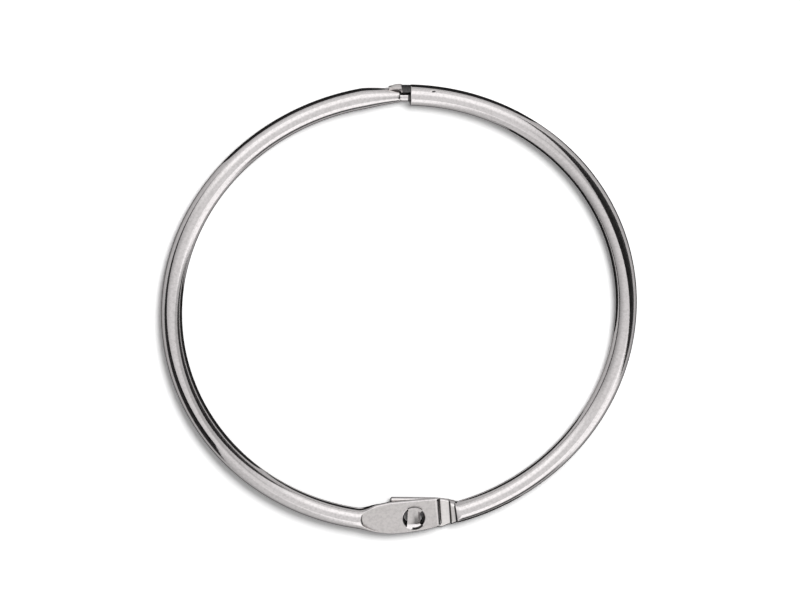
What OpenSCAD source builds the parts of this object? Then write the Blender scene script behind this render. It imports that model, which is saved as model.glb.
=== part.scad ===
// A hinged binder ring, closed and lying flat.
// Two halves are rolled from bright steel strip, with their seam on the inner side.
// Where they meet at the bottom both tubes are pressed flat into leaves that lie on
// each other. A bridge lanced out of the rear leaf stands up through a round hole in
// the front leaf and is crushed over its rim, so the sheet itself is the pivot.
// At the top the left half ends in a nose, which enters the open mouth of the right
// half under a tongue of its outer wall.

/* [Ring] */
// Inside diameter of the closed ring
ring_inside_d = 76.2; // [60:0.1:110]
// Outside diameter of the rolled tube
tube_d = 3.7; // [3.6:0.05:3.8]
// Thickness of the strip that the tube is rolled from
strip_t = 0.5; // [0.4:0.05:0.55]
// Width of the seam along the inner side of the tube
seam_w = 0.2; // [0.1:0.05:0.3]
// Direction of the mouth from the ring's centre, the pivot being at -90 degrees
mouth_angle = 83.5; // [81:0.1:85]

/* [Hinge] */
// How far the pivot lies inside the tube's centre line
pivot_inset = 0.65; // [0.5:0.05:0.8]
// Thickness of one pressed leaf
leaf_t = 1.0; // [0.8:0.05:1.1]
// Gap between the two leaves
leaf_gap = 0.1; // [0.06:0.02:0.14]
// Distance from the pivot to the front leaf's end
leaf_reach = 4.84; // [4.6:0.02:4.9]
// Distance from the pivot to the rear leaf's end
rear_reach = 4.2; // [4.1:0.02:4.4]
// Depth of the flat face struck into the front leaf
coin_depth = 0.05; // [0.03:0.01:0.1]
// Skew of the rear leaf, whose end leans towards the ring's centre
rear_skew = 6; // [4:0.5:7]
// Diameter of the pivot hole in the front leaf
hole_d = 3.8; // [3.6:0.05:4.0]
// Radial clearance of the bridge's round ends in that hole
pivot_clearance = 0.06; // [0.04:0.01:0.1]
// Width of the lanced bridge
bridge_w = 2.4; // [2.2:0.1:2.6]
// How far the bridge's crushed ends stand out over the hole's rim
lip_overhang = 0.25; // [0.15:0.05:0.3]

/* [Closure] */
// Angle that the tongue of the outer wall covers past the mouth
tongue_span = 5.3; // [4.5:0.1:6]
// Angle past the mouth over which the left tube is swaged down
swage_span = 11.7; // [10:0.1:13]
// Radius of the swaged end
swage_r = 1.12; // [1.05:0.01:1.15]
// Radius of the nose at the mouth
nose_r = 0.85; // [0.8:0.01:0.9]
// Angle that the nose reaches into the mouth
nose_span = 4.5; // [3:0.1:5]

/* [Hidden] */
$fn = 64;
steel = [0.82, 0.82, 0.81];
eps = 0.01;

tube_r = tube_d / 2;
bore_r = tube_r - strip_t;
ring_r = (ring_inside_d + tube_d) / 2; // the tube's centre line
pivot_y = pivot_inset - ring_r;
hole_r = hole_d / 2;
bridge_r = hole_r - pivot_clearance;
lip_r = hole_r + lip_overhang;

front_low = leaf_gap / 2;
front_high = front_low + leaf_t;
rear_high = -leaf_gap / 2;
rear_low = rear_high - leaf_t;

// Where each tube begins to be pressed flat, and where its leaf is fully flat
left_root = 10.2;
left_flat = 5.7;
right_root = 8.3;
left_root_angle = asin(left_root / ring_r);
right_root_angle = asin(right_root / ring_r);

fold_r = 0.47; // radius of a leaf's folded edges
tuck = 0.7; // angle that a formed end runs back inside its tube
buried_r = tube_r - 0.05; // its radius there
skin = 0.003; // how far a formed end stays inside the tube's round skin
lead = 0.06; // angle by which it stands out of the tube's end before it changes
section_n = 8; // steps round each corner of a section
plate_step = 0.9; // distance between the sections of a flat leaf

function mix(a, b, t) = a + (b - a) * t;
function smooth(t) = t * t * (3 - 2 * t);
function on_ring(angle, out = 0) = (ring_r + out) * [cos(angle), sin(angle)];

// A rounded rectangle standing across the path at a station, which is
// [point, heading, half width, lowest z, highest z, corner radius]
function section(s) =
    let (across = [-sin(s[1]), cos(s[1])],
         r = min(s[5], s[2], (s[4] - s[3]) / 2),
         mid = (s[3] + s[4]) / 2,
         reach = [s[2] - r, (s[4] - s[3]) / 2 - r])
    [for (k = [0:3], i = [0:section_n])
        let (turn = 90 * k + 90 * i / section_n,
             side = (k == 0 || k == 3) ? 1 : -1,
             up = (k < 2) ? 1 : -1,
             a = side * reach[0] + r * cos(turn),
             z = mid + up * reach[1] + r * sin(turn))
        [s[0][0] + a * across[0], s[0][1] + a * across[1], z]];

// One skin over sections that follow each other along the path
module loft(stations) {
    rings = [for (s = stations) section(s)];
    n = len(rings[0]);
    m = len(rings);
    points = [for (ring = rings) for (p = ring) p];
    sides = [for (j = [0:m - 2], i = [0:n - 1])
        let (a = j * n + i, b = j * n + (i + 1) % n)
        each [[a, b + n, b], [a, a + n, b + n]]];
    caps = [[for (i = [0:n - 1]) i], [for (i = [n - 1:-1:0]) (m - 1) * n + i]];
    polyhedron(points = points, faces = concat(sides, caps), convexity = 6);
}

// The round tube between two angles, its bore running from one angle to another
module tube(from, to, bore_from, bore_to) {
    difference() {
        rotate([0, 0, from])
            rotate_extrude(angle = to - from, $fn = 240)
                translate([ring_r, 0])
                    circle(r = tube_r);
        rotate([0, 0, bore_from])
            rotate_extrude(angle = bore_to - bore_from, $fn = 240)
                translate([ring_r, 0]) {
                    circle(r = bore_r);
                    translate([-tube_r - 1, -seam_w / 2])
                        square([tube_r + 1, seam_w]);
                }
    }
}

// Edges of the front leaf, measured from the pivot: the one towards the ring's
// centre and the one away from it. Both curve away from where the leaf is widest.
widest_x = -3;
inner_y = 3.26;
outer_y = -2.62;
function inner_edge(x) = inner_y - 1.3 * pow(max(0, widest_x - x) / 6, 2.2);
function outer_edge(x) = outer_y + ((x < widest_x)
    ? 2.15 * pow((widest_x - x) / 6.1, 2.3)
    : 0.77 * pow((x - widest_x) / 7.5, 2.6));

rim = 0.1; // half the width of the polished rim round the struck face
face_from = -9.15; // where the struck face's outline closes to a blunt tip
face_to = leaf_reach - 0.46; // where its end begins to turn down

// Station of a flat leaf between two edges, drawn in at its end by an inset
function leaf_station(x, inner, outer, low, high, heading, inset) =
    [[x, (inner + outer) / 2], heading, (inner - outer) / 2 - inset,
     low + inset * 0.9, high - inset * 0.9, fold_r];

// Insets that round the end of a leaf: [distance from the end, inset]
end_rounding = [[0.42, 0], [0.25, 0.07], [0.12, 0.18], [0.03, 0.34], [0, 0.46]];
rear_rounding = 0.6; // the rear leaf's corners are this much tighter

// The front leaf as one blend, from the round tube on the left to the leaf's end
module front_leaf_blank() {
    start = on_ring(-90 - left_root_angle + lead) - [0, pivot_y];
    back = on_ring(-90 - left_root_angle - tuck) - [0, pivot_y];
    flat_in = inner_edge(-left_flat) + rim;
    flat_out = outer_edge(-left_flat) - rim;
    blend_steps = 16;
    blend = [for (i = [1:blend_steps])
        let (t = i / blend_steps,
             s = smooth(t),
             x = mix(-left_root, -left_flat, t),
             heading = mix(-left_root_angle, 0, min(1, 1.3 * t)),
             middle = start[1] + (x + left_root) * tan(-left_root_angle) * (1 - t) / 1.6,
             inner = mix(middle + tube_r, flat_in, s),
             outer = mix(middle - tube_r, flat_out, s))
        [[x, (inner + outer) / 2], heading, (inner - outer) / 2,
         mix(-tube_r, front_low, s), mix(tube_r, front_high, s), mix(tube_r, fold_r, s)]];
    plate = [for (x = [-left_flat + plate_step:plate_step:leaf_reach - fold_r])
        leaf_station(x, inner_edge(x) + rim, outer_edge(x) - rim, front_low, front_high, 0, 0)];
    tip = [for (e = end_rounding)
        let (x = leaf_reach - e[0])
        leaf_station(x, inner_edge(x) + rim, outer_edge(x) - rim, front_low, front_high, 2, e[1])];
    loft(concat(
        [[back, -left_root_angle - tuck, buried_r, -buried_r, buried_r, buried_r],
         [start, -left_root_angle, tube_r - skin, -tube_r + skin, tube_r - skin, tube_r]],
        blend, plate, tip));
}

// Outline of the struck face: a blunt tip on the tube, then the leaf inside its rim
module struck_face() {
    steps = 26;
    xs = [for (i = [0:steps]) mix(face_from, face_to, i / steps)];
    inner = [for (x = xs) [x, inner_edge(x) - rim]];
    outer = [for (i = [steps:-1:0]) [xs[i], outer_edge(xs[i]) + rim]];
    blunt = [for (p = [[0.2, 0.2], [0.25, 0.75], [0.2, 1.3]]) [face_from - p[0], p[1]]];
    polygon(concat(inner, outer, blunt));
}

module front_leaf() {
    difference() {
        front_leaf_blank();
        translate([0, 0, front_high - coin_depth])
            linear_extrude(tube_r)
                struck_face();
        translate([0, 0, -tube_r])
            cylinder(r = hole_r, h = tube_d);
    }
}

// The rear leaf lies in a skewed frame of its own
rear_inner = 3.38;
rear_outer = -2.15;

// It steps up to the tube in two creases: [x, inner edge, outer edge, heading,
// lowest z, highest z, corner radius]
rear_steps = [
    [5.2, 3.24, -2.06, 0, rear_low, rear_high, fold_r],
    [6.35, 3.08, -1.40, 6, -1.22, rear_high, fold_r],
    [6.50, 3.07, -1.34, 6, -1.26, 0.85, 0.8],
    [7.25, 2.98, -1.02, 9, -1.50, 1.10, 1.1],
    [7.42, 2.97, -0.96, 10, -1.58, 1.62, 1.5],
    [7.75, 2.95, -0.88, 14, -1.72, 1.78, 1.7]];

module rear_leaf() {
    turned = right_root_angle + rear_skew;
    root = on_ring(-90 + right_root_angle - lead) - [0, pivot_y];
    back = on_ring(-90 + right_root_angle + tuck) - [0, pivot_y];
    tip = [for (i = [len(end_rounding) - 1:-1:0])
        let (e = rear_rounding * end_rounding[i])
        leaf_station(e[0] - rear_reach, rear_inner, rear_outer, rear_low, rear_high, 0, e[1])];
    plate = [for (x = [1 - rear_reach:plate_step:rear_reach - fold_r])
        leaf_station(x, rear_inner, rear_outer, rear_low, rear_high, 0, 0)];
    steps = [for (s = rear_steps)
        [[s[0], (s[1] + s[2]) / 2], s[3], (s[1] - s[2]) / 2, s[4], s[5], s[6]]];
    loft(concat(tip, plate, steps,
        [[turn(root), turned, tube_r - skin, -tube_r + skin, tube_r - skin, tube_r],
         [turn(back), turned + tuck, buried_r, -buried_r, buried_r, buried_r]]));
}

// A point of the ring's frame in the rear leaf's skewed frame
function turn(p) =
    [p[0] * cos(rear_skew) - p[1] * sin(rear_skew),
     p[0] * sin(rear_skew) + p[1] * cos(rear_skew)];

bridge_roof = 0.5; // thickness of the bridge's top
leg_t = 0.6; // thickness of its two ends
lip_low = front_high + 0.03;
lip_high = lip_low + 0.2;
leg_in = bridge_r - leg_t;
lance_r = bridge_r - 0.1; // half the length of the cuts beside the bridge
foot_z = rear_low + 0.3; // how far down the ends are sunk in the rear leaf

// Sectors of the bridge's crushed ends, seen from above: [from, to]
far_end = [50, 125];
near_end = [-128, -86];
// Beside the near end the metal has torn free of the hole's rim
torn_end = [-86, -40];
torn_r = bridge_r - 0.2;
edge_drop = 0.55; // width of the long edge that is drawn down on the right
edge_slope = 50;

// A pie slice over a sector, for the bridge's ends
module slice(sector, r, low, high) {
    angles = [sector[0], (sector[0] + sector[1]) / 2, sector[1]];
    translate([0, 0, low])
        linear_extrude(high - low)
            intersection() {
                circle(r = r);
                polygon(concat([[0, 0]], [for (a = angles) 2 * r * [cos(a), sin(a)]]));
            }
}

module bridge() {
    difference() {
        union() {
            intersection() {
                translate([0, 0, foot_z])
                    cylinder(r = bridge_r, h = lip_high - foot_z);
                translate([-bridge_w / 2, -tube_r * 2, rear_low])
                    cube([bridge_w, tube_r * 4, tube_d]);
            }
            for (end = [far_end, near_end]) {
                slice(end, bridge_r, rear_high - leg_t / 2, lip_low + eps);
                slice(end, lip_r, lip_low, lip_high);
            }
            slice(torn_end, torn_r, rear_high - leg_t / 2, lip_high);
        }
        difference() {
            slice(torn_end, bridge_r + 1, front_low, lip_high + 1);
            cylinder(r = torn_r, h = lip_high + 2);
        }
        // the hollow that the strip was drawn up from
        translate([-tube_r, -leg_in, -tube_d])
            cube([tube_d, leg_in * 2, tube_d + lip_high - bridge_roof]);
        // the long edge on the right is drawn down
        translate([bridge_w / 2 - edge_drop, -bridge_r, lip_high])
            rotate([0, edge_slope, 0])
                cube([bridge_w, bridge_r * 2, 1]);
    }
}

// What is cut out of the rear leaf: a round window, less the two feet of the bridge
module lance_cuts() {
    depth = leaf_t + 1.5;
    translate([0, 0, rear_low - 1])
        difference() {
            cylinder(r = lance_r, h = depth);
            for (side = [-1, 1])
                translate([-bridge_w / 2, side * (leg_in + tube_d / 2) - tube_d / 2, -1])
                    cube([bridge_w, tube_d, depth + 2]);
        }
}

// The tongue is the outer wall running on past the mouth, a little proud of it. Seen
// from outside, its half height falls in one step and then tapers:
// [angle past the mouth, half height]
tongue_proud = 0.1;
tongue_root = -0.4;
tongue_from = ring_r + 0.9; // its wall starts this far from the ring's centre
tongue_edge = [[tongue_root, 1.58], [2.1, 1.58], [2.2, 1.04], [tongue_span, 0.56]];

module tongue() {
    n = len(tongue_edge);
    side = [for (p = tongue_edge) [(ring_r + tube_r) * tan(p[0]), p[1]]];
    intersection() {
        rotate([0, 0, mouth_angle + tongue_root])
            rotate_extrude(angle = tongue_span + 1, $fn = 240)
                translate([ring_r, 0])
                    difference() {
                        circle(r = tube_r + tongue_proud);
                        circle(r = bore_r + tongue_proud);
                    }
        rotate([90, 0, mouth_angle + 90])
            translate([0, 0, tongue_from])
                linear_extrude(tube_d)
                    polygon(concat(side, [for (i = [n - 1:-1:0]) [side[i][0], -side[i][1]]]));
    }
}

// Dimple pressed into the outer wall behind the mouth
dimple_angle = 77.5;
dimple_tilt = 43; // from the ring's plane
punch_r = 0.45; // radius of the round punch that presses it
punch_stop = 0.25; // how far the punch's centre stays outside the wall
module dimple() {
    rotate([0, 0, dimple_angle])
        translate([ring_r, 0, 0])
            rotate([0, -dimple_tilt, 0])
                translate([tube_r + punch_stop, 0, 0])
                    sphere(r = punch_r, $fn = 32);
}

// The swaged end of the left tube and its nose, one skin of round sections:
// [angle past the mouth, radius, shift from the centre line]
swage_shift = -0.18;
nose_shift = -0.3;
shoulder = 2.95; // angle past the mouth where the swage ends
nose_stations = [
    [shoulder - 0.15, swage_r - 0.02, swage_shift], [shoulder - 0.25, swage_r - 0.08, -0.2],
    [shoulder - 0.32, nose_r + 0.08, -0.25], [shoulder - 0.7, nose_r + 0.05, nose_shift],
    [0, nose_r, nose_shift], [-nose_span * 0.5, nose_r - 0.08, -0.2],
    [-nose_span + 0.7, nose_r - 0.2, -0.1], [-nose_span + 0.25, nose_r - 0.35, -0.1],
    [-nose_span, nose_r - 0.65, -0.1]];

module nose_end() {
    swage_from = mouth_angle + swage_span;
    swage_to = mouth_angle + shoulder;
    swage_steps = 12;
    swage = [for (i = [1:swage_steps])
        let (t = i / swage_steps)
        [mix(swage_from, swage_to, t), mix(tube_r, swage_r, pow(t, 1.2)), swage_shift * t]];
    rounds = concat(
        [[swage_from + tuck, buried_r, 0], [swage_from - lead, tube_r - skin, 0]],
        swage,
        [for (s = nose_stations) [mouth_angle + s[0], s[1], s[2]]]);
    loft([for (s = rounds) [on_ring(s[0], s[2]), s[0] - 90, s[1], -s[1], s[1], s[1]]]);
}

// Both halves are drawn about the ring's middle plane and lie on z = 0
module lying_flat() {
    translate([0, 0, tube_r])
        children();
}

module at_pivot() {
    translate([0, pivot_y, 0])
        children();
}

module right_half() {
    color(steel)
        lying_flat() {
            difference() {
                tube(-90 + right_root_angle, mouth_angle, -90 + right_root_angle + 2, mouth_angle + 2);
                dimple();
            }
            tongue();
            at_pivot()
                rotate([0, 0, -rear_skew]) {
                    difference() {
                        rear_leaf();
                        lance_cuts();
                    }
                    bridge();
                }
        }
}

module left_half() {
    color(steel)
        lying_flat() {
            tube(mouth_angle + swage_span, 270 - left_root_angle,
                 mouth_angle + swage_span + 2, 270 - left_root_angle - 2);
            nose_end();
            at_pivot()
                front_leaf();
        }
}

right_half();
left_half();
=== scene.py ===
# %% [markdown]
# # A hinged binder ring in nickel-plated steel
# The ring is two half hoops of thin tube. At the bottom both tubes are pressed flat into
# leaves that lie on each other and turn on a small bridge of sheet metal. At the top the left
# hoop ends in a nose that snaps into the open mouth of the right one. This lesson dresses the
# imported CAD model: each cell adds one piece or one finish, and says why it is made that way.

# %% Load the fixed frame
import bmesh
import bpy
from math import acos, asin, atan2, cos, degrees, pi, radians, sin, sqrt, tan
from mathutils import Matrix, Vector


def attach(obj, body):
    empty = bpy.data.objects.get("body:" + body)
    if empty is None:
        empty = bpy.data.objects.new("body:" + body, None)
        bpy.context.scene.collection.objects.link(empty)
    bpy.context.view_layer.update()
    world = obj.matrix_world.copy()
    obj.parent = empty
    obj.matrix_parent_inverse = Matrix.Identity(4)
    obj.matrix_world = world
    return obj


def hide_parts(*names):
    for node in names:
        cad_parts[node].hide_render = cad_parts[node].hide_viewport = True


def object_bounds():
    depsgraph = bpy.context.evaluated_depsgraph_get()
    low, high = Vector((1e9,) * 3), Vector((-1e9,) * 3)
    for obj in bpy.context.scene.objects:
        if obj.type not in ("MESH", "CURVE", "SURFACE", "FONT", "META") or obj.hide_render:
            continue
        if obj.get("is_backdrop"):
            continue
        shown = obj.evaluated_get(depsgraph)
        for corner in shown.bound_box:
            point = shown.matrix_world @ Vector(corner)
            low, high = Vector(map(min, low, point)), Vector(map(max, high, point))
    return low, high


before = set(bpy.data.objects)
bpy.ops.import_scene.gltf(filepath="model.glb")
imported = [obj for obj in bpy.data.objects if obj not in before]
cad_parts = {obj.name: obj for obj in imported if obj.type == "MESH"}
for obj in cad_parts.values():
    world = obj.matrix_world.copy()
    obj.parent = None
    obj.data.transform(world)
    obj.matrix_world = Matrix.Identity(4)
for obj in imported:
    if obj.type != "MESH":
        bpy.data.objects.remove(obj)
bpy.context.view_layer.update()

# %% [markdown]
# ## Measures
# All the pieces below share a few measures with the CAD source, written here in millimetres.
# A length becomes metres only at the moment a point is placed, so the numbers stay readable.

# %% Measures of the ring
MM = 0.001
TUBE_R, BORE_R = 1.85, 1.35     # tube, outside and inside
RING_R = 39.95                  # middle line of the tube
PIVOT_Y = -39.3                 # the pivot lies on the y axis
MOUTH = 83.5                    # degrees round the ring to the right half's open end
LEFT_ROOT, LEFT_FLAT = 10.2, 5.7   # x where the left tube starts to flatten, and is flat
RIGHT_ROOT = 8.3                # x where the right tube starts
REAR_SKEW = 6.0                 # degrees that the rear leaf is turned about the pivot
LEAF_END, REAR_END = 4.84, 4.2  # from the pivot to the ends of the front and rear leaf
HOLE_R, BRIDGE_R = 1.9, 1.84    # pivot hole and the bridge that turns in it
FOLD_R = 0.47                   # fold along the leaves' edges
FRONT_LOW, FRONT_HIGH = 0.05, 1.05   # heights over the tube's middle plane
REAR_LOW, REAR_HIGH = -1.05, -0.05
left_root_angle = degrees(asin(LEFT_ROOT / RING_R))
right_root_angle = degrees(asin(RIGHT_ROOT / RING_R))
print("root angles", round(left_root_angle, 2), round(right_root_angle, 2))


# %% [markdown]
# ## The camera
# The view is almost straight down, tipped 21.4 degrees towards the top of the ring, and
# rolled a little. A long lens from far away keeps the circle an even ellipse. The camera is
# built from three directions, right, up and back, which are the columns of its rotation.

# %% Camera
TILT, ROLL, TURN = radians(21.4), radians(11.7), radians(7.17)
PX_PER_MM = 5.707
across = Vector((cos(TURN), sin(TURN), 0))
away = Vector((-sin(TURN), cos(TURN), 0))
back = sin(TILT) * away + cos(TILT) * Vector((0, 0, 1))
rise = cos(TILT) * away - sin(TILT) * Vector((0, 0, 1))
right = cos(ROLL) * across - sin(ROLL) * rise
up = sin(ROLL) * across + cos(ROLL) * rise
aim = Vector((0, 0, TUBE_R)) + (right * 1.06 + up * 7.78 + rise * 1.3) / PX_PER_MM
distance = 2400.0

cam_data = bpy.data.cameras.new("camera")
cam = bpy.data.objects.new("camera", cam_data)
bpy.context.collection.objects.link(cam)
bpy.context.scene.camera = cam
cam_data.sensor_width = 36
cam_data.lens = 36 * distance / (800 / PX_PER_MM)
cam.matrix_world = Matrix((
    (right.x, up.x, back.x, 0), (right.y, up.y, back.y, 0), (right.z, up.z, back.z, 0), (0, 0, 0, 1)))
cam.location = (aim + back * distance) * MM
cam_data.clip_start, cam_data.clip_end = 0.1, 20
print("lens", round(cam_data.lens, 1), "camera at", [round(v, 3) for v in cam.location])

# %% [markdown]
# ## Working by hand, in code
# The hoops have a section that changes along the way: round tube, pressed blend, flat leaf.
# By hand one would place a circle, extrude it again and again and shape each new loop. The
# helpers below do just that: a circle primitive is set on an outline, `grow` extrudes the
# selected loop and lays it on the next outline, and `sweep` spins it round the ring.

# %% Small helpers


def clear_selection():
    if bpy.context.object and bpy.context.object.mode != "OBJECT":
        bpy.ops.object.mode_set(mode="OBJECT")
    bpy.ops.object.select_all(action="DESELECT")


def mix(a, b, t):
    return a + (b - a) * t


def smooth(t):
    return t * t * (3 - 2 * t)


def on_ring(angle, out=0.0):
    """The place at an angle round the ring, some way outside the middle line."""
    return (RING_R + out) * cos(radians(angle)), (RING_R + out) * sin(radians(angle))


print("the ring's top lies at", [round(v, 2) for v in on_ring(90)])

# %% The outline of a section
CORNER_STEPS = 12
SEAM_DEPTH, SEAM_HALF = 0.26, 0.11
SEAM_EDGE = 0.03


def outline(point, heading, half, low, high, corner, seam=0.0):
    """A rounded rectangle that stands across the path, with a seam on its inner side."""
    r = min(corner, half, (high - low) / 2)
    side_reach, up_reach, mid = half - r, (high - low) / 2 - r, (low + high) / 2
    flat = []
    for k in range(4):
        side, rise_sign = (1 if k in (0, 3) else -1), (1 if k < 2 else -1)
        for i in range(CORNER_STEPS):
            a = radians(90 * k + 90 * (i + 0.5) / CORNER_STEPS)
            flat.append((side * side_reach + r * cos(a), mid + rise_sign * up_reach + r * sin(a)))
    edge = flat[0][0]
    groove = ((-SEAM_HALF, SEAM_EDGE), (-SEAM_HALF / 2, SEAM_DEPTH),
              (SEAM_HALF / 2, SEAM_DEPTH), (SEAM_HALF, SEAM_EDGE))
    for z, depth in groove:
        flat.append((edge - depth * seam, mid + z * (0.4 + 0.6 * seam)))
    ux, uy = -sin(radians(heading)), cos(radians(heading))
    return [Vector((point[0] + a * ux, point[1] + a * uy, z + TUBE_R)) * MM for a, z in flat]


print(4 * CORNER_STEPS + 4, "points round each section")

# %% Growing a skin loop by loop
loop_now = []


def selected_loop(mesh):
    return [v for v in mesh.verts if v.select]


def lay_on(new_outline, old_outline):
    """Moves the selected loop, which lies on the old outline, on to the new one."""
    obj = bpy.context.object
    mesh = bmesh.from_edit_mesh(obj.data)
    verts = selected_loop(mesh)
    for v in verts:
        nearest = min(range(len(old_outline)), key=lambda k: (old_outline[k] - v.co).length_squared)
        v.index = nearest
    for v in verts:
        v.co = new_outline[v.index]
    bmesh.update_edit_mesh(obj.data)


def begin(name, first):
    """A circle primitive, set on the first outline and left selected in edit mode."""
    global loop_now
    clear_selection()
    bpy.ops.mesh.primitive_circle_add(vertices=len(first), radius=TUBE_R * MM)
    obj = bpy.context.object
    obj.name = name
    bpy.ops.object.mode_set(mode="EDIT")
    bpy.ops.mesh.select_mode(type="EDGE")
    mesh = bmesh.from_edit_mesh(obj.data)
    mesh.verts.ensure_lookup_table()
    for v, co in zip(mesh.verts, first):
        v.co = co
    bmesh.update_edit_mesh(obj.data)
    loop_now = first
    return obj


def close_end():
    """Fills the selected loop with one face."""
    bpy.ops.mesh.edge_face_add()


def grow(next_outline):
    """Extrudes the selected loop and lays the new loop on the next outline."""
    global loop_now
    bpy.ops.mesh.extrude_edges_move()
    lay_on(next_outline, loop_now)
    loop_now = next_outline


def sweep(angle, steps):
    """Spins the selected loop round the ring, counted anticlockwise from above."""
    global loop_now
    bpy.ops.mesh.spin(steps=steps, angle=-radians(angle), center=(0, 0, 0), axis=(0, 0, 1))
    turned = Matrix.Rotation(radians(angle), 3, "Z")
    loop_now = [turned @ co for co in loop_now]


print("ready to begin, grow and sweep a skin")

# %% Finishing a mesh


def settle(obj):
    """Leaves edit mode with doubles merged and every face pointing outwards."""
    bpy.ops.object.mode_set(mode="EDIT")
    bpy.ops.mesh.select_all(action="SELECT")
    bpy.ops.mesh.remove_doubles(threshold=1e-7)
    bpy.ops.mesh.normals_make_consistent(inside=False)
    bpy.ops.mesh.select_all(action="DESELECT")
    bpy.ops.object.mode_set(mode="OBJECT")
    return obj


def apply(obj, kind, **settings):
    """Adds a modifier with its settings and applies it at once."""
    clear_selection()
    obj.select_set(True)
    bpy.context.view_layer.objects.active = obj
    m = obj.modifiers.new(kind.lower(), kind)
    for key, value in settings.items():
        setattr(m, key, value)
    bpy.ops.object.modifier_apply(modifier=m.name)


def cut(obj, tool, operation="DIFFERENCE"):
    """Takes a tool out of a piece, or joins it on, and deletes the tool."""
    apply(obj, "BOOLEAN", object=tool, operation=operation, solver="EXACT")
    bpy.data.objects.remove(tool)


def shade(obj, angle=35):
    clear_selection()
    obj.select_set(True)
    bpy.context.view_layer.objects.active = obj
    bpy.ops.object.shade_smooth_by_angle(angle=radians(angle))


def place(obj, matrix):
    """Moves the mesh itself, so that the object stays at the origin."""
    obj.data.transform(matrix)
    obj.data.update()


def report(obj):
    corners = [v.co for v in obj.data.vertices]
    print(obj.name, len(obj.data.polygons), "faces, mm",
          [round(min(c[i] for c in corners) / MM, 2) for i in range(3)],
          [round(max(c[i] for c in corners) / MM, 2) for i in range(3)])


AT_PIVOT = Matrix.Translation((0, PIVOT_Y * MM, 0))
SKEWED = AT_PIVOT @ Matrix.Rotation(radians(-REAR_SKEW), 4, "Z")
print("front leaf is laid at", AT_PIVOT.translation, "and the rear leaf is turned by", REAR_SKEW)

# %% [markdown]
# ## The left half
# A single skin runs from the nose, over its swaged neck and the plain tube, into the front
# leaf. The plain stretch is one spin; the ends are grown loop by loop. One skin has no joints
# to hide, and a mirror finish would show every one of them.

# %% The nose and its swaged neck
# painted shade: the neck is dark from the mouth's rim up to this many degrees past it
SHADED_NECK_TO = 0.62
# (degrees past the mouth, radius, distance outside the middle line)
NOSE = [(-4.5, 0.2, -0.1), (-4.4, 0.38, -0.1), (-4.25, 0.5, -0.1), (-3.8, 0.65, -0.1), (-3.0, 0.72, -0.15),
        (-2.25, 0.77, -0.2), (-1.0, 0.82, -0.27), (0.0, 0.85, -0.3), (SHADED_NECK_TO, 0.865, -0.3),
        (1.2, 0.88, -0.3), (2.0, 0.9, -0.3), (2.63, 0.93, -0.25), (2.70, 1.04, -0.2), (2.80, 1.1, -0.18)]
# the tube narrows over SWAGE_SPAN degrees, down to SWAGE_R at the SHOULDER
SWAGE_SPAN, SWAGE_R, SHOULDER = 11.7, 1.12, 2.95
SWAGE_DROP, SWAGE_STEPS = 0.18, 16


def round_at(angle, radius, out=0.0, seam=0.0):
    """A round section at an angle on the ring."""
    return outline(on_ring(angle, out), angle + 90, radius, -radius, radius, radius, seam)


print("the nose reaches", round(radians(-NOSE[0][0]) * RING_R, 1), "mm into the mouth")

# %% Edges and end of the front leaf


def inner_edge(x):
    """The leaf's edge towards the ring's middle, in mm from the pivot."""
    s = max(0.0, -3 - x) / 6
    return 3.26 - 1.3 * s ** 2.2


def outer_edge(x):
    """The leaf's other edge, widest three millimetres before the pivot."""
    if x < -3:
        return -2.62 + 2.15 * ((-3 - x) / 6.1) ** 2.3
    return -2.62 + 0.77 * ((x + 3) / 7.5) ** 2.6


RIM = 0.1                       # the skin lies this far outside these edges, the struck face inside
# the leaf's end turns down: (distance from the end, sides drawn in, top down, bottom up)
FRONT_END = [(0.72, 0, 0, 0), (0.64, 0, 0.02, 0), (0.54, 0.01, 0.07, 0), (0.42, 0.03, 0.14, 0.01),
             (0.30, 0.06, 0.23, 0.03), (0.18, 0.12, 0.35, 0.07), (0.09, 0.20, 0.46, 0.13),
             (0.03, 0.30, 0.56, 0.20), (0, 0.42, 0.64, 0.25)]
LEAF_STEP = 0.45


def leaf_at(x, drawn_in=0.0, down=0.0, up=0.0):
    inner, outer = inner_edge(x) + RIM, outer_edge(x) - RIM
    return outline((x, (inner + outer) / 2 + PIVOT_Y), 0, (inner - outer) / 2 - drawn_in,
                   FRONT_LOW + up, FRONT_HIGH - down, FOLD_R)


def front_blend(t):
    """A section between the round tube, at 0, and the flat leaf, at 1."""
    s = smooth(t)
    start_y = on_ring(-90 - left_root_angle)[1] - PIVOT_Y
    x = mix(-LEFT_ROOT, -LEFT_FLAT, t)
    middle = start_y + (x + LEFT_ROOT) * tan(radians(-left_root_angle)) * (1 - t) / 1.6
    inner = mix(middle + TUBE_R, inner_edge(-LEFT_FLAT) + RIM, s)
    outer = mix(middle - TUBE_R, outer_edge(-LEFT_FLAT) - RIM, s)
    heading = mix(-left_root_angle, 0, min(1, 1.3 * t))
    return outline((x, (inner + outer) / 2 + PIVOT_Y), heading, (inner - outer) / 2,
                   mix(-TUBE_R, FRONT_LOW, s), mix(TUBE_R, FRONT_HIGH, s), mix(TUBE_R, FOLD_R, s),
                   max(0, 1 - 3 * t))


print("leaf edges at the pivot", round(inner_edge(0), 2), round(outer_edge(0), 2))

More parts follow.
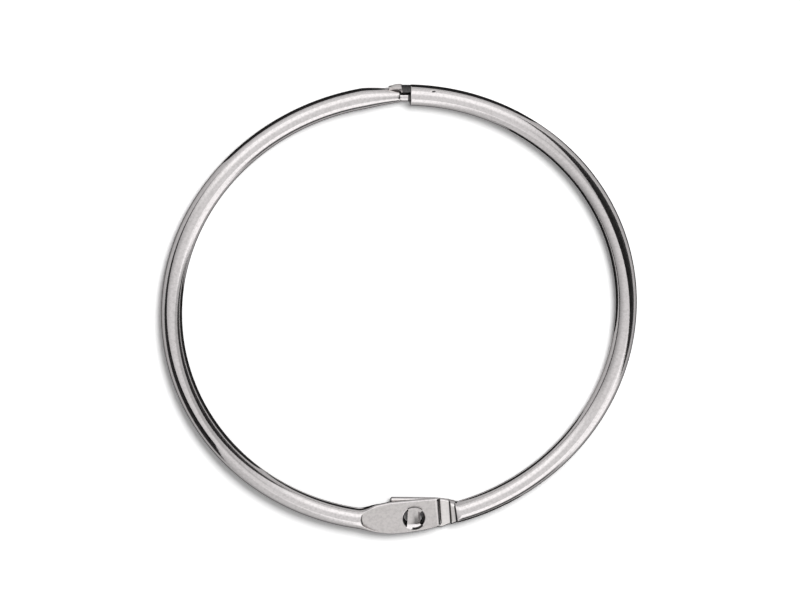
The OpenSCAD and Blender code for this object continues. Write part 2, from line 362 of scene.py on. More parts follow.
# %% Left half, one skin
left = begin("left_hoop", round_at(MOUTH + NOSE[0][0], NOSE[0][1], NOSE[0][2]))
close_end()
for offset, radius, out in NOSE[1:]:
    grow(round_at(MOUTH + offset, radius, out))
for i in range(SWAGE_STEPS - 1, -1, -1):
    t = i / SWAGE_STEPS
    grow(round_at(mix(MOUTH + SWAGE_SPAN, MOUTH + SHOULDER, t), mix(TUBE_R, SWAGE_R, t ** 1.2),
                  -SWAGE_DROP * t, max(0, 1 - 3 * t)))
sweep(270 - left_root_angle - MOUTH - SWAGE_SPAN, 120)
for i in range(1, 19):
    grow(front_blend(i / 18))
x = -LEFT_FLAT + LEAF_STEP
while x < LEAF_END - 0.8:
    grow(leaf_at(x))
    x += LEAF_STEP
for back_by, *change in FRONT_END:
    grow(leaf_at(LEAF_END - back_by, *change))
close_end()
settle(left)
report(left)

# %% [markdown]
# ## The struck face and the pivot hole
# A die strikes the leaf's top a little lower and leaves a fine grain on it, with a bright rim
# left standing all round. The cutter is the face's outline, a circle primitive laid on the
# outline and extruded upwards. A boolean takes it out of the leaf, and the hole is cut alike.

# %% Cutters from any outline


def prism(name, points, low, high):
    """A circle primitive laid on an outline and extruded from one height to another."""
    clear_selection()
    bpy.ops.mesh.primitive_circle_add(vertices=len(points), radius=MM)
    obj = bpy.context.object
    obj.name = name
    for v, (px, py) in zip(obj.data.vertices, points):
        v.co = (px * MM, py * MM, (low + TUBE_R) * MM)
    bpy.ops.object.mode_set(mode="EDIT")
    bpy.ops.mesh.select_all(action="SELECT")
    bpy.ops.mesh.edge_face_add()
    bpy.ops.mesh.extrude_region_move(TRANSFORM_OT_translate={"value": (0, 0, (high - low) * MM)})
    return settle(obj)


def disc(radius, count):
    return [(radius * cos(2 * pi * i / count), radius * sin(2 * pi * i / count)) for i in range(count)]


ABOVE = TUBE_R + 1
print("cutters reach up to", ABOVE, "mm over the middle plane")

# %% Cut the struck face and the hole
FACE_FROM, FACE_TO_INNER, FACE_TO_OUTER, COIN_DEPTH = -9.15, 3.80, 4.06, 0.05
FACE_STEPS = 30
face = []
for edge, face_to, order, inwards in ((inner_edge, FACE_TO_INNER, 1, -RIM), (outer_edge, FACE_TO_OUTER, -1, RIM)):
    xs = [mix(FACE_FROM, face_to, i / FACE_STEPS) for i in range(FACE_STEPS + 1)][::order]
    face += [(x, edge(x) + inwards) for x in xs]
blunt_tip = ((0.17, 0.0), (0.24, 0.35), (0.27, 0.72), (0.24, 1.1), (0.15, 1.45))
face += [(FACE_FROM - before, y) for before, y in blunt_tip]

face_tool = prism("face_tool", face, FRONT_HIGH - COIN_DEPTH, ABOVE)
place(face_tool, AT_PIVOT)
cut(left, face_tool)
hole_tool = prism("hole_tool", disc(HOLE_R, 72), -TUBE_R, ABOVE)
place(hole_tool, AT_PIVOT)
cut(left, hole_tool)
report(left)

# %% [markdown]
# ## The hole's rolled edge
# A punch never leaves a sharp upper edge: it draws the sheet down into a soft roll, and the
# roll mirrors a dark arc on one side and a bright one on the other. The rim's edges are found
# by their place and bevelled with five segments.

# %% Roll the hole's edge
EDGE_ROLL = 0.25
face_z = (FRONT_HIGH - COIN_DEPTH + TUBE_R) * MM


def on_rim(vert):
    from_pivot = sqrt(vert.co.x ** 2 + (vert.co.y - PIVOT_Y * MM) ** 2)
    return abs(from_pivot - HOLE_R * MM) < 0.01 * MM and abs(vert.co.z - face_z) < 0.001 * MM


clear_selection()
left.select_set(True)
bpy.context.view_layer.objects.active = left
bpy.ops.object.mode_set(mode="EDIT")
bpy.ops.mesh.select_mode(type="EDGE")
mesh = bmesh.from_edit_mesh(left.data)
for edge in mesh.edges:
    edge.select_set(on_rim(edge.verts[0]) and on_rim(edge.verts[1]))
print("rim edges", sum(edge.select for edge in mesh.edges))
bmesh.update_edit_mesh(left.data)
bpy.ops.mesh.bevel(offset=EDGE_ROLL * MM, segments=5, affect="EDGES")
bpy.ops.mesh.select_all(action="DESELECT")
bpy.ops.object.mode_set(mode="OBJECT")

# %% [markdown]
# ## Marks of the press
# Crushing the bridge over the hole has bitten a short arc out of the rim, and the die has
# pressed a groove along the face's blunt tip. Both are thin prisms taken out of the leaf.

# %% Bite and groove


def arc(radius, from_deg, to_deg, count):
    turns = [radians(mix(from_deg, to_deg, i / count)) for i in range(count + 1)]
    return [(radius * cos(a), radius * sin(a)) for a in turns]


bite_plan = arc(HOLE_R + 0.26, -108, -46, 20) + arc(HOLE_R - 0.1, -46, -108, 20)
bite = prism("bite", bite_plan, FRONT_HIGH - 0.6, ABOVE)
place(bite, AT_PIVOT)
cut(left, bite)
groove_plan = ((-0.08, -0.2), (-0.22, 0.2), (-0.27, 0.65), (-0.24, 1.1), (-0.12, 1.5),
               (0.10, 1.5), (0, 1.1), (-0.03, 0.65), (0, 0.2), (0.12, -0.2))
groove = prism("groove", [(FACE_FROM + dx, y) for dx, y in groove_plan], FRONT_HIGH - 0.32, ABOVE)
place(groove, AT_PIVOT)
cut(left, groove)
report(left)

# %% [markdown]
# ## The right half
# Its skin runs from the end of the rear leaf over two sharp creases into the tube, round to
# the open mouth, over the rim and back down the bore. The rear leaf is skewed by six degrees,
# so its outlines are turned about the pivot before they are laid.

# %% Outlines of the rear leaf
# (distance from the pivot, inner and outer edge, heading, bottom, top, fold)
REAR_STEPS = [
    (4.6, 3.30, -2.10, 0, REAR_LOW, REAR_HIGH, FOLD_R),
    (5.2, 3.24, -2.06, 0, REAR_LOW, REAR_HIGH, FOLD_R),
    (5.8, 3.14, -1.73, 3, -1.13, REAR_HIGH, FOLD_R),
    (6.20, 3.09, -1.47, 6, -1.20, REAR_HIGH, FOLD_R),
    (6.28, 3.08, -1.43, 6, -1.21, -0.02, FOLD_R),
    (6.36, 3.08, -1.39, 6, -1.23, 0.16, 0.5),
    (6.45, 3.08, -1.36, 6, -1.25, 0.66, 0.7),
    (6.54, 3.07, -1.32, 6, -1.26, 0.84, 0.8),
    (6.70, 3.05, -1.25, 7, -1.31, 0.90, 0.9),
    (7.18, 2.98, -1.04, 9, -1.48, 1.06, 1.1),
    (7.27, 2.98, -1.01, 9, -1.52, 1.16, 1.2),
    (7.37, 2.97, -0.97, 10, -1.56, 1.46, 1.4),
    (7.48, 2.97, -0.95, 10, -1.59, 1.66, 1.5),
    (7.75, 2.95, -0.88, 14, -1.72, 1.78, 1.7)]
REAR_IN, REAR_OUT = 3.38, -2.15
REAR_ROUNDING, REAR_STEP = 0.6, 0.7
# (distance from the end, all sides drawn in), both as a share of REAR_ROUNDING
END_ROUNDING = [(0.42, 0), (0.33, 0.03), (0.25, 0.07), (0.18, 0.12),
                (0.12, 0.18), (0.07, 0.25), (0.03, 0.34), (0, 0.46)]


def rear_at(x, inner, outer, heading, low, high, corner, inset=0.0):
    points = outline((x, (inner + outer) / 2), heading, (inner - outer) / 2 - inset,
                     low + 0.9 * inset, high - 0.9 * inset, corner, 0.0)
    return [SKEWED @ p for p in points]


print(len(REAR_STEPS), "steps from the rear leaf up to the tube")

# %% Right half, one skin
def rear_leaf_at(x, inset=0.0):
    return rear_at(x, REAR_IN, REAR_OUT, 0, REAR_LOW, REAR_HIGH, FOLD_R, inset)


right_hoop = begin("right_hoop", rear_leaf_at(-REAR_END, REAR_ROUNDING * END_ROUNDING[-1][1]))
close_end()
for back_by, inset in reversed(END_ROUNDING[:-1]):
    grow(rear_leaf_at(REAR_ROUNDING * back_by - REAR_END, REAR_ROUNDING * inset))
x = REAR_ROUNDING - REAR_END
while x < 4.0:
    grow(rear_leaf_at(x))
    x += REAR_STEP
for step in REAR_STEPS:
    grow(rear_at(*step))
grow(round_at(-90 + right_root_angle, TUBE_R, 0, 0.3))
grow(round_at(-90 + right_root_angle + 1.0, TUBE_R, 0, 1.0))
sweep(MOUTH - 0.45 + 90 - right_root_angle - 1.0, 120)
# over the rim: (degrees before the mouth, radius, share of the seam)
for before, radius, seam in ((0.25, TUBE_R, 1.0), (0.12, TUBE_R, 1.0), (0.03, TUBE_R - 0.03, 1.0),
                             (0, TUBE_R - 0.09, 1.0), (0, BORE_R + 0.07, 0.4),
                             (0.08, BORE_R + 0.01, 0.2), (1, BORE_R, 0)):
    grow(round_at(MOUTH - before, radius, 0, seam))
BORE_SPAN = 14
sweep(-BORE_SPAN, 10)
close_end()
settle(right_hoop)
report(right_hoop)

# %% [markdown]
# ## The lanced bridge
# The rear leaf is cut along two arcs, and the strip between them is drawn up through the hole
# and crushed over its rim. The openings it leaves are cut with a prism. The bridge itself
# starts as a prism of its plan and loses its hollow; one long side is sloped, a piece of its
# lower end is torn away, the crushed lips are joined on, and the lower end droops a little.

# %% Lance the rear leaf
BRIDGE_W, BRIDGE_ROOF = 2.4, 0.5
LEG_IN = BRIDGE_R - 0.6
LANCE_R = BRIDGE_R - 0.1


def box_plan(x0, y0, x1, y1):
    return [(x0, y0), (x1, y0), (x1, y1), (x0, y1)]


lance_tool = prism("lance_tool", disc(LANCE_R, 64), REAR_LOW - 1, REAR_HIGH + 0.4)
for near, far in ((LEG_IN, LANCE_R + 1), (-LANCE_R - 1, -LEG_IN)):
    leg_plan = box_plan(-BRIDGE_W / 2, near, BRIDGE_W / 2, far)
    cut(lance_tool, prism("leg_keep", leg_plan, REAR_LOW - 2, REAR_HIGH + 1))
place(lance_tool, SKEWED)
cut(right_hoop, lance_tool)
report(right_hoop)

# %% The bridge's plan, hollow and sloped side
LIP_LOW, LIP_HIGH = FRONT_HIGH + 0.03, FRONT_HIGH + 0.23
roof_z = (LIP_HIGH + TUBE_R) * MM
half_turn = degrees(acos(BRIDGE_W / 2 / BRIDGE_R))
bridge_plan = (arc(BRIDGE_R, half_turn, 180 - half_turn, 12)
               + arc(BRIDGE_R, 180 + half_turn, 360 - half_turn, 12))
bridge = prism("pivot_bridge", bridge_plan, REAR_LOW + 0.3, LIP_HIGH)
cut(bridge, prism("hollow", box_plan(-3, -LEG_IN, 3, LEG_IN), REAR_LOW - 1, LIP_HIGH - BRIDGE_ROOF))


def tip_tool(tool, at, angle, axis):
    """Turns a tool that lies on the middle plane and sets it on the roof."""
    place(tool, Matrix.Translation((at[0] * MM, at[1] * MM, roof_z)) @ Matrix.Rotation(radians(angle), 4, axis)
          @ Matrix.Translation((0, 0, -TUBE_R * MM)))
    return tool


slope = prism("slope", box_plan(0, -2.6, 2, 2.6), 0, 1)
cut(bridge, tip_tool(slope, (BRIDGE_W / 2 - 0.55, 0), 50, "Y"))
report(bridge)

# %% The bridge's torn and crushed ends
LIP_R = HOLE_R + 0.25
TORN_R = BRIDGE_R - 0.2
tear_plan = arc(BRIDGE_R + 1, -98, -40, 14) + arc(TORN_R, -40, -98, 14)
cut(bridge, prism("tear", tear_plan, FRONT_LOW, LIP_HIGH + 1))
# (name, inner and outer radius, bottom, from angle, to angle)
crushed = (("lip_inner", BRIDGE_R - 0.25, LIP_R, LIP_LOW, 50, 125),
           ("lip_outer", BRIDGE_R - 0.25, LIP_R, LIP_LOW, -130, -98),
           ("torn_end", TORN_R - 0.5, TORN_R, FRONT_LOW, -100, -40))
for name, r0, r1, low, a0, a1 in crushed:
    cut(bridge, prism(name, arc(r1, a0, a1, 20) + arc(r0, a1, a0, 20), low, LIP_HIGH), "UNION")
droop = prism("droop", box_plan(-3, -3, 3, 0), 0, 1)
cut(bridge, tip_tool(droop, (0, -1.0), 11, "X"))
place(bridge, SKEWED)
report(bridge)

# %% [markdown]
# ## The tongue
# Past the mouth the outer wall of the right tube runs on as a tapered tongue that guides the
# nose. Its root is set back a little and its tip bends in. It is a curved sheet: a grid is
# laid over the wall, its edges following the taper, and Solidify gives it the thickness.

# %% Tongue
TONGUE_R, TONGUE_SPAN, TONGUE_WALL = TUBE_R + 0.1, 5.3, 0.45
ROOT_DEPTH, ROOT_END, ROOT_FADE = 0.18, 1.9, 0.5
TIP_BEND, BEND_FROM = 0.28, 3.0
# (degrees past the mouth, half the tongue's height)
TONGUE_EDGE = [(-0.4, 1.58), (2.1, 1.58), (2.2, 1.04), (TONGUE_SPAN, 0.56)]


def half_height(a):
    for (a0, h0), (a1, h1) in zip(TONGUE_EDGE, TONGUE_EDGE[1:]):
        if a <= a1:
            return mix(h0, h1, (a - a0) / (a1 - a0))
    return TONGUE_EDGE[-1][1]


def wall_radius(a):
    set_back = ROOT_DEPTH * (1 - smooth(min(1, max(0, (a - ROOT_END) / ROOT_FADE))))
    bent_in = TIP_BEND * smooth(max(0, (a - BEND_FROM) / (TONGUE_SPAN - BEND_FROM)))
    return TONGUE_R - set_back - bent_in


clear_selection()
bpy.ops.mesh.primitive_grid_add(x_subdivisions=56, y_subdivisions=24, size=2)
tongue = bpy.context.object
tongue.name = "mouth_tongue"
for v in tongue.data.vertices:
    a = mix(TONGUE_EDGE[0][0], TONGUE_SPAN, (v.co.x + 1) / 2)
    phi = v.co.y * asin(half_height(a) / TONGUE_R)
    r = wall_radius(a)
    px, py = on_ring(MOUTH + a, r * cos(phi))
    v.co = Vector((px, py, r * sin(phi) + TUBE_R)) * MM
settle(tongue)
apply(tongue, "SOLIDIFY", thickness=TONGUE_WALL * MM, offset=-1)
settle(tongue)
report(tongue)

# %% [markdown]
# ## The dimple
# A small punch mark behind the mouth locks the rolled strip. A sphere, stretched, turned and
# pressed into the wall, leaves exactly such a dent.

# %% Dimple
DIMPLE_ANGLE, DIMPLE_TILT, DIMPLE_TURN, DENT = 78.0, 43, 20, (0.16, 0.38, 0.15)
out = TUBE_R + 0.02
cx, cy = on_ring(DIMPLE_ANGLE, out * cos(radians(DIMPLE_TILT)))
dent_at = Vector((cx, cy, out * sin(radians(DIMPLE_TILT)) + TUBE_R)) * MM
clear_selection()
bpy.ops.mesh.primitive_uv_sphere_add(segments=32, ring_count=20, radius=MM)
punch = bpy.context.object
turned = (Matrix.Rotation(radians(DIMPLE_ANGLE), 4, "Z") @ Matrix.Rotation(radians(-DIMPLE_TILT), 4, "Y")
          @ Matrix.Rotation(radians(DIMPLE_TURN), 4, "X"))
place(punch, Matrix.Translation(dent_at) @ turned @ Matrix.Diagonal((*DENT, 1)))
cut(right_hoop, punch)
report(right_hoop)

# %% [markdown]
# ## Worked edges
# Sheet metal has no perfectly sharp edge. A tiny bevel catches the light along every cut, and
# weighted normals keep the flat faces flat beside it.

# %% Bevels and shading
for piece, width in ((left, 0.03), (right_hoop, 0.03), (bridge, 0.12), (tongue, 0.06)):
    apply(piece, "BEVEL", width=width * MM, segments=2, limit_method="ANGLE",
          angle_limit=radians(45), use_clamp_overlap=True)
    shade(piece)
    apply(piece, "WEIGHTED_NORMAL", keep_sharp=True, mode="FACE_AREA", weight=60)
    report(piece)

# %% [markdown]
# ## Nickel
# The strip is bright nickel over steel: nearly white, faintly warm, slightly uneven in gloss
# and in level, with many faint darker rubs. The unevenness is one shader node group with its
# own inputs, so that all four finishes can share it, each with its own values.

# %% Shared wear group


def new_group(name, inputs, outputs):
    """A node group with its sockets, and its two end nodes."""
    group = bpy.data.node_groups.new(name, "ShaderNodeTree")
    for socket, kind, default in inputs:
        s = group.interface.new_socket(socket, in_out="INPUT", socket_type=kind)
        if default is not None:
            s.default_value = default
    for socket, kind in outputs:
        group.interface.new_socket(socket, in_out="OUTPUT", socket_type=kind)
    return group, group.nodes.new("NodeGroupInput"), group.nodes.new("NodeGroupOutput")


def add(tree, kind, settings=None, **inputs):
    """Adds a node; an input is given by its name, or by its number as i0, i1 and so on."""
    node = tree.nodes.new("ShaderNode" + kind)
    for key, value in (settings or {}).items():
        setattr(node, key, value)
    for key, value in inputs.items():
        socket = node.inputs[int(key[1:])] if key[0] == "i" and key[1:].isdigit() else node.inputs[key]
        if isinstance(value, bpy.types.NodeSocket):
            tree.links.new(value, socket)
        else:
            socket.default_value = value
    return node


wear, wear_in, wear_out = new_group(
    "plating_wear",
    [("Color", "NodeSocketColor", (0.8, 0.79, 0.77, 1)), ("Rubbed", "NodeSocketColor", (0.6, 0.59, 0.57, 1)),
     ("Roughness", "NodeSocketFloat", 0.12), ("Spread", "NodeSocketFloat", 0.08),
     ("Grain Scale", "NodeSocketFloat", 9000.0)],
    [("Color", "NodeSocketColor"), ("Roughness", "NodeSocketFloat"), ("Height", "NodeSocketFloat")])
place_in = add(wear, "TexCoord").outputs["Object"]
cloud = add(wear, "TexNoise", Vector=place_in, Scale=420.0, Detail=3.0).outputs["Fac"]
rub = add(wear, "TexNoise", Vector=place_in, Scale=2000.0, Detail=3.0, Roughness=0.65).outputs["Fac"]
grain = add(wear, "TexNoise", Vector=place_in, Scale=wear_in.outputs["Grain Scale"], Detail=2.0).outputs["Fac"]
rub_mask = add(wear, "MapRange", {"clamp": True}, Value=rub, i1=0.42, i2=0.66, i3=0.0, i4=0.8).outputs[0]
tint = wear.nodes.new("ShaderNodeMix")
tint.data_type = "RGBA"
wear.links.new(rub_mask, tint.inputs[0])
wear.links.new(wear_in.outputs["Color"], tint.inputs[6])
wear.links.new(wear_in.outputs["Rubbed"], tint.inputs[7])
uneven = add(wear, "MapRange", Value=cloud, i1=0.3, i2=0.7, i3=-0.5, i4=1.0).outputs[0]
rough = add(wear, "Math", {"operation": "MULTIPLY_ADD"},
            i0=uneven, i1=wear_in.outputs["Spread"], i2=wear_in.outputs["Roughness"]).outputs[0]
wear.links.new(tint.outputs[2], wear_out.inputs["Color"])
wear.links.new(rough, wear_out.inputs["Roughness"])
wear.links.new(grain, wear_out.inputs["Height"])
print("wear group:", [s.name for s in wear.interface.items_tree])

# %% Nickel materials


def nickel(name, color, rubbed, roughness, spread, grain_scale, bump, edge):
    m = bpy.data.materials.new(name)
    m.use_nodes = True
    tree = m.node_tree
    tree.nodes.clear()
    group = tree.nodes.new("ShaderNodeGroup")
    group.node_tree = wear
    group.inputs["Color"].default_value = (*color, 1)
    group.inputs["Rubbed"].default_value = (*rubbed, 1)
    group.inputs["Roughness"].default_value = roughness
    group.inputs["Spread"].default_value = spread
    group.inputs["Grain Scale"].default_value = grain_scale
    dent = add(tree, "Bump", Height=group.outputs["Height"], Strength=bump, Distance=0.00002)
    shader = add(tree, "BsdfPrincipled", Metallic=1.0, Roughness=group.outputs["Roughness"],
                 Normal=dent.outputs["Normal"])
    shader.inputs["Specular Tint"].default_value = (*edge, 1)
    tree.links.new(group.outputs["Color"], shader.inputs["Base Color"])
    end = tree.nodes.new("ShaderNodeOutputMaterial")
    tree.links.new(shader.outputs["BSDF"], end.inputs["Surface"])
    return m


# color, rubbed color, roughness, its spread, grain scale, bump, tint at grazing angles
bright = nickel("bright_nickel", (0.86, 0.825, 0.825), (0.74, 0.705, 0.705),
                0.07, 0.04, 2800.0, 0.22, (0.0, 0.0, 0.0))
struck = nickel("struck_nickel", (0.79, 0.755, 0.745), (0.65, 0.62, 0.61),
                0.42, 0.06, 14000.0, 0.9, (0.8, 0.8, 0.8))
pressed = nickel("pressed_nickel", (0.97, 0.93, 0.915), (0.88, 0.845, 0.83),
                 0.30, 0.05, 9000.0, 0.3, (0.4, 0.4, 0.4))
# painted shade: a dark copy of the nickel for recesses, creases and places where shade falls
shadowed = nickel("painted_shade_nickel", (0.14, 0.135, 0.135), (0.07, 0.07, 0.07),
                  0.45, 0.05, 9000.0, 0.3, (0.4, 0.4, 0.4))
print("materials:", bright.name, struck.name, pressed.name, shadowed.name)

# %% [markdown]
# ## Who wears what
# Faces are picked in code by their place and normal. The struck floor of the front leaf and
# the bridge's roof get the grained finish, and the flats beside them the paler pressed one.
# The dark finish is painted shade, put where shade falls in recesses and hollows: the
# mouth, the hole, the openings under the bridge, the creases, the dimple, the bridge's sides,
# the tongue's root and the neck by the mouth's rim.

# %% Give every piece its finishes
for piece, finishes in ((left, (bright, struck, shadowed, pressed)), (right_hoop, (bright, shadowed, pressed)),
                        (bridge, (struck, bright, shadowed)), (tongue, (pressed, shadowed))):
    piece.data.materials.clear()
    for finish in finishes:
        piece.data.materials.append(finish)
    print(piece.name, [m.name for m in piece.data.materials])


def wear_finish(piece, face, finish):
    face.material_index = list(piece.data.materials).index(finish)


def off_pivot(c):
    """How far a point lies from the pivot's axis, in mm."""
    return sqrt(c.x ** 2 + (c.y - PIVOT_Y * MM) ** 2) / MM


def off_tube(c):
    """How far a point lies from the tube's middle line, in mm."""
    return sqrt((sqrt(c.x ** 2 + c.y ** 2) / MM - RING_R) ** 2 + (c.z / MM - TUBE_R) ** 2)


# %% Finishes of the left half
LEAVES_BELOW, LEAF_BACK = -30 * MM, 9.8 * MM
MOUTH_ABOVE = 30 * MM
RIM_FROM = FACE_FROM + 2        # x from which the rim has the pressed finish
GROOVE_Y, GROOVE_HALF = PIVOT_Y + 0.6, 0.65
count = 0
for f in left.data.polygons:
    c = f.center
    # painted shade on the neck by the mouth's rim
    if c.y > MOUTH_ABOVE and MOUTH < degrees(atan2(c.y, c.x)) < MOUTH + SHADED_NECK_TO:
        wear_finish(left, f, shadowed)
    if c.y > LEAVES_BELOW or abs(c.x) > LEAF_BACK:
        continue
    below = (face_z - c.z) / MM
    before = c.x / MM - FACE_FROM
    if f.normal.z > 0.999 and abs(below) < 0.004:
        wear_finish(left, f, struck)
        count += 1
    elif f.normal.z > 0.97 and below < -0.03 and c.x > RIM_FROM * MM:
        wear_finish(left, f, pressed)
    # painted shade on the hole's wall below the roll
    elif HOLE_R - 0.02 < off_pivot(c) < HOLE_R + 0.22 and below > EDGE_ROLL and f.normal.z > -0.5:
        wear_finish(left, f, shadowed)
    # painted shade in the groove along the face's blunt tip
    elif -0.3 < before < 0.05 and below > 0.01 and f.normal.z > -0.01 and abs(c.y / MM - GROOVE_Y) < GROOVE_HALF:
        wear_finish(left, f, shadowed)
print("struck faces", count)

# %% Finishes of the right half, the bridge and the tongue
CREASES_FROM, CREASES_TO = 6 * MM, 8 * MM
REAR_FLAT_TO = 7.4 * MM         # x where the flats beside the rear leaf end
OPENINGS_R, DENT_R = 1.95, 0.42
ROOT_TO = MOUTH + 2.15          # degrees round the ring to the end of the tongue's root
for f in right_hoop.data.polygons:
    c = f.center
    at_leaf = c.y < LEAVES_BELOW
    # painted shade: the bore inside the mouth, the dimple, the risers of the creases and the openings under the
    # bridge get the dark finish
    if c.y > 0 and off_tube(c) < BORE_R + 0.02:
        wear_finish(right_hoop, f, shadowed)
    elif (c - dent_at).length < DENT_R * MM and off_tube(c) < TUBE_R - 0.03:
        wear_finish(right_hoop, f, shadowed)
    elif at_leaf and CREASES_FROM < c.x < CREASES_TO and f.normal.x < -0.35 and 0.03 < f.normal.z < 0.9:
        wear_finish(right_hoop, f, shadowed)
    elif off_pivot(c) < OPENINGS_R and c.z < (REAR_HIGH + TUBE_R + 0.01) * MM:
        wear_finish(right_hoop, f, shadowed)
    elif at_leaf and c.x < REAR_FLAT_TO and f.normal.z > 0.85:
        wear_finish(right_hoop, f, pressed)
for f in bridge.data.polygons:
    # painted shade on the bridge's sides
    if f.normal.z < 0.45:
        wear_finish(bridge, f, shadowed)
    elif f.normal.y < -0.12 and f.normal.z > 0.95 and abs(f.normal.x) < 0.1:
        wear_finish(bridge, f, bright)
# painted shade on the tongue's root
for f in tongue.data.polygons:
    if degrees(atan2(f.center.y, f.center.x)) < ROOT_TO:
        wear_finish(tongue, f, shadowed)
for piece in (right_hoop, bridge, tongue):
    used = [f.material_index for f in piece.data.polygons]
    print(piece.name, "faces by finish", [used.count(k) for k in range(len(piece.data.materials))])

# %% [markdown]
# ## The stage
# A pale disc lies under the ring. For the camera and for reflections its colour is scaled up
# so that the lit floor reaches white, while light that bounces off it stays at a plain level.
# The ring's shadow stays, because it is still ordinary lit colour.

# %% Floor
PAPER, SEEN_MORE = 0.75, 0.55
clear_selection()
bpy.ops.mesh.primitive_circle_add(vertices=96, radius=1.6, fill_type="NGON")
floor = bpy.context.object
floor.name = "floor"
floor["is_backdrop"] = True
paper = bpy.data.materials.new("white_paper")
paper.use_nodes = True
tree = paper.node_tree
tree.nodes.clear()
path = tree.nodes.new("ShaderNodeLightPath")
seen = add(tree, "Math", {"operation": "MAXIMUM"},
           i0=path.outputs["Is Camera Ray"], i1=path.outputs["Is Glossy Ray"]).outputs[0]
seen = add(tree, "Math", {"operation": "MAXIMUM"}, i0=seen, i1=path.outputs["Is Transmission Ray"]).outputs[0]
level = add(tree, "Math", {"operation": "MULTIPLY_ADD"}, i0=seen, i1=SEEN_MORE, i2=PAPER).outputs[0]
matte = add(tree, "BsdfDiffuse")
tree.links.new(level, matte.inputs["Color"])
end = tree.nodes.new("ShaderNodeOutputMaterial")
tree.links.new(matte.outputs["BSDF"], end.inputs["Surface"])
floor.data.materials.append(paper)
print("floor radius 1.6 m")

# %% [markdown]
# ## The light
# One soft box stands beyond the ring, to its upper right, and draws the soft shadow. It is
# kept out of the reflections, because a mirror finish would show it as one hard spot.

# %% Soft box
LAMP_SIZE, LAMP_WATTS, LAMP_AWAY = 0.55, 12.0, 1.2
lamp_from = Vector((0.48, 1.01, 1.47)).normalized()
lamp_data = bpy.data.lights.new("soft_box", "AREA")
lamp_data.shape = "DISK"
lamp_data.size = LAMP_SIZE
lamp_data.energy = LAMP_WATTS
lamp = bpy.data.objects.new("soft_box", lamp_data)
bpy.context.collection.objects.link(lamp)
lamp.location = lamp_from * LAMP_AWAY
lamp.rotation_mode = "QUATERNION"
lamp.rotation_quaternion = (-lamp_from).to_track_quat("-Z", "Y")
lamp.visible_camera = False
lamp.visible_glossy = False
print("soft box", lamp_data.energy, "W")

# %% [markdown]
# ## What the metal mirrors
# Bright metal has hardly a colour of its own: it looks like metal because of what it mirrors.
# A studio sets cards round a shiny piece for that, and so does this stage. All of them are
# seen in the metal only, so they shade nothing and stay out of the picture: a grey card
# on the table, two level black flags that draw the broad dark stripes on the right and left
# tubes, and thin black crescents on the table that draw the dark lines along the outlines.

# %% Cards seen in the metal only


def card(name, level, roughness):
    paint = bpy.data.materials.new(name)
    paint.use_nodes = True
    shader = paint.node_tree.nodes["Principled BSDF"]
    shader.inputs["Base Color"].default_value = (level, level, level, 1)
    shader.inputs["Roughness"].default_value = roughness
    return paint


def seen_in_metal_only(obj, paint):
    for ray in ("camera", "diffuse", "shadow", "transmission", "volume_scatter"):
        setattr(obj, "visible_" + ray, False)
    obj.data.materials.append(paint)
    obj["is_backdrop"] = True


black, grey = card("black_card", 0.006, 0.9), card("grey_card", 0.56, 1.0)
clear_selection()
bpy.ops.mesh.primitive_circle_add(vertices=96, radius=0.4, fill_type="NGON", location=(0, 0, 0.03 * MM))
table_card = bpy.context.object
table_card.name = "table_card"
seen_in_metal_only(table_card, grey)
print("grey card on the table, radius 0.4 m")

# %% Flags


def flag(name, height, corner, first, second, reach):
    """A black flag held level over the table, with one corner near the ring. It leaves that
    corner in two directions, counted in degrees from the camera's right."""
    near = across * corner[0] + away * corner[1] + Vector((0, 0, height))
    sides = [(across * cos(radians(a)) + away * sin(radians(a))) * reach for a in (first, second)]
    clear_selection()
    bpy.ops.mesh.primitive_plane_add(size=1)
    obj = bpy.context.object
    obj.name = name
    for vert in obj.data.vertices:
        i, j = vert.co.x + 0.5, vert.co.y + 0.5
        vert.co = (near + sides[0] * i + sides[1] * j) * MM
    seen_in_metal_only(obj, black)


flag("flag_right", 102.7, (62.5, -29.8), 40.6, -49.9, 1100)
flag("flag_left", 20.7, (-43.2, -28.0), 229, 129, 460)
print("two flags")

# %% Crescents
CRESCENT_STEPS, CRESCENT_Z = 24, 0.05


def crescent(name, start, end, from_angle, to_angle, roundness):
    """A black crescent on the table along the hoop, between two distances from the middle
    line. A smaller roundness keeps it wide almost to its tips."""
    turns = [radians(mix(from_angle, to_angle, i / CRESCENT_STEPS)) for i in range(CRESCENT_STEPS + 1)]
    points = [((RING_R + start) * cos(a), (RING_R + start) * sin(a)) for a in turns]
    for i in range(CRESCENT_STEPS - 1, 0, -1):
        r = RING_R + start + (end - start) * sin(pi * i / CRESCENT_STEPS) ** roundness
        points.append((r * cos(turns[i]), r * sin(turns[i])))
    clear_selection()
    bpy.ops.mesh.primitive_circle_add(vertices=len(points), radius=1)
    obj = bpy.context.object
    obj.name = name
    for vert, (px, py) in zip(obj.data.vertices, points):
        vert.co = (px * MM, py * MM, CRESCENT_Z * MM)
    bpy.ops.object.mode_set(mode="EDIT")
    bpy.ops.mesh.select_all(action="SELECT")
    bpy.ops.mesh.edge_face_add()
    bpy.ops.object.mode_set(mode="OBJECT")
    seen_in_metal_only(obj, black)


CRESCENTS = [("card_top_right", 2.2, 9, 50, 85.6, 0.4), ("card_top_left", 2.2, 9, 88.2, 135, 0.25),
             ("card_bottom_left", -1, -7, 228, 276, 0.4), ("card_bottom_right", -1, -7, 281.5, 325, 0.4),
             ("card_inner_right", -1.2, -34, -14, 55, 0.5), ("card_outer_right", 1.2, 4.4, -62, 48, 0.3),
             ("card_by_hinge", 0.6, 24, 268, 297, 0.4), ("card_inner_left", -1.2, -36, 170, 228, 0.4)]
for row in CRESCENTS:
    crescent(*row)
print(len(CRESCENTS), "crescents")

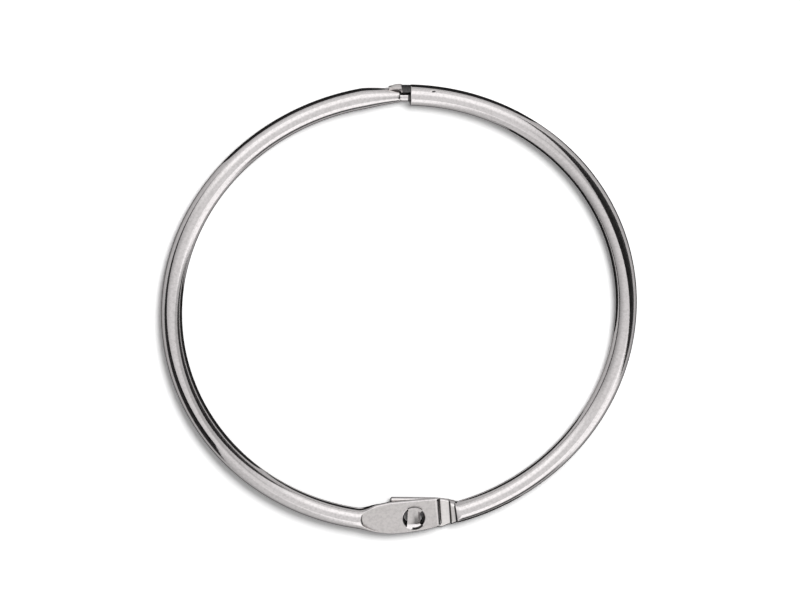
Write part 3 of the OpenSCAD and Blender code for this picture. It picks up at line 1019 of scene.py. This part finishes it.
# %% [markdown]
# ## The room
# The rest of what the metal mirrors is the world. Its level goes by direction: how far from
# straight up (the tip) and towards which side, counted in degrees from the camera's right, so
# that 90 is beyond the ring and 270 is in front of it. The room falls off from top to bottom,
# and lit patches are faded in over it, one after another. The camera sees plain white, and
# everything else gets an even fill.

# %% Helpers for directions
world = bpy.data.worlds.new("room")
bpy.context.scene.world = world
world.use_nodes = True
tree = world.node_tree
tree.nodes.clear()
direction = add(tree, "TexCoord").outputs["Generated"]


def dot_with(vector):
    return add(tree, "VectorMath", {"operation": "DOT_PRODUCT"}, i0=direction, i1=tuple(vector)).outputs["Value"]


def ramp(value, low, high, out_low, out_high):
    return add(tree, "MapRange", {"interpolation_type": "SMOOTHSTEP"},
               Value=value, i1=low, i2=high, i3=out_low, i4=out_high).outputs[0]


def math2(operation, a, b):
    return add(tree, "Math", {"operation": operation}, i0=a, i1=b).outputs[0]


def degrees_of(value):
    return math2("MULTIPLY", value, degrees(1))


def turned_from(angle):
    """How many degrees a direction is turned away from an azimuth, to either side."""
    ahead = across * cos(radians(angle)) + away * sin(radians(angle))
    beside = away * cos(radians(angle)) - across * sin(radians(angle))
    return math2("ABSOLUTE", degrees_of(math2("ARCTAN2", dot_with(beside), dot_with(ahead))), 0.0)


def lit(room, patch, level):
    """Fades the room towards a level where the patch is one."""
    return math2("ADD", room, math2("MULTIPLY", patch, math2("SUBTRACT", level, room)))


def both(a, b):
    return math2("MULTIPLY", a, b)


def between(value, rise_from, rise_to, fall_from, fall_to):
    return both(ramp(value, rise_from, rise_to, 0.0, 1.0), ramp(value, fall_from, fall_to, 1.0, 0.0))


print("ready to fade lit patches into the room")

# %% Level of the room
tip = degrees_of(math2("ARCCOSINE", dot_with((0, 0, 1)), 0.0))
room = ramp(tip, 15, 85, 0.74, 0.34)
# (side, its half width where it starts and ends to fade, tips where it rises and falls, level)
PATCHES = [(90, 45, 85, (14, 40, 52, 104), 1.15), (90, 30, 80, (60, 75, 80, 110), 0.72),
           (255, 14, 34, (26, 60, 84, 100), 0.62), (274, 10, 24, (24, 33, 58, 72), 1.15),
           (300, 7, 17, (28, 46, 130, 140), 1.12), (279, 8, 18, (60, 72, 88, 100), 0.10),
           (335, 16, 30, (14, 26, 70, 90), 0.46)]
for side, full, gone, tips, level in PATCHES:
    room = lit(room, both(ramp(turned_from(side), full, gone, 1.0, 0.0), between(tip, *tips)), level)
print(len(PATCHES), "patches in the room")

# %% Room
FILL, BACKGROUND = 0.30, 1.0
path = tree.nodes.new("ShaderNodeLightPath")
glossy = math2("MAXIMUM", path.outputs["Is Glossy Ray"], path.outputs["Is Transmission Ray"])
strength = math2("ADD", math2("MULTIPLY", glossy, room), math2("MULTIPLY", math2("SUBTRACT", 1.0, glossy), FILL))
strength = math2("ADD", math2("MULTIPLY", path.outputs["Is Camera Ray"], BACKGROUND),
                 math2("MULTIPLY", math2("SUBTRACT", 1.0, path.outputs["Is Camera Ray"]), strength))
sky = add(tree, "Background", Strength=strength)
sky.inputs["Color"].default_value = (1, 1, 1, 1)
end = tree.nodes.new("ShaderNodeOutputWorld")
tree.links.new(sky.outputs["Background"], end.inputs["Surface"])
bpy.context.scene.view_settings.view_transform = "Standard"
print("room ready")

# %% [markdown]
# ## Handing over
# Each piece rides on its CAD body, so the hoops open with the hinge, and stands for the node
# it was modelled after.

# %% Ride, replace, finish
for piece, body in ((left, "left_half"), (right_hoop, "right_half"), (bridge, "right_half"), (tongue, "right_half")):
    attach(piece, body)
    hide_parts(body)
clear_selection()
low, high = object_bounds()
print("visual box", [round(v * 1000, 2) for v in low], [round(v * 1000, 2) for v in high])
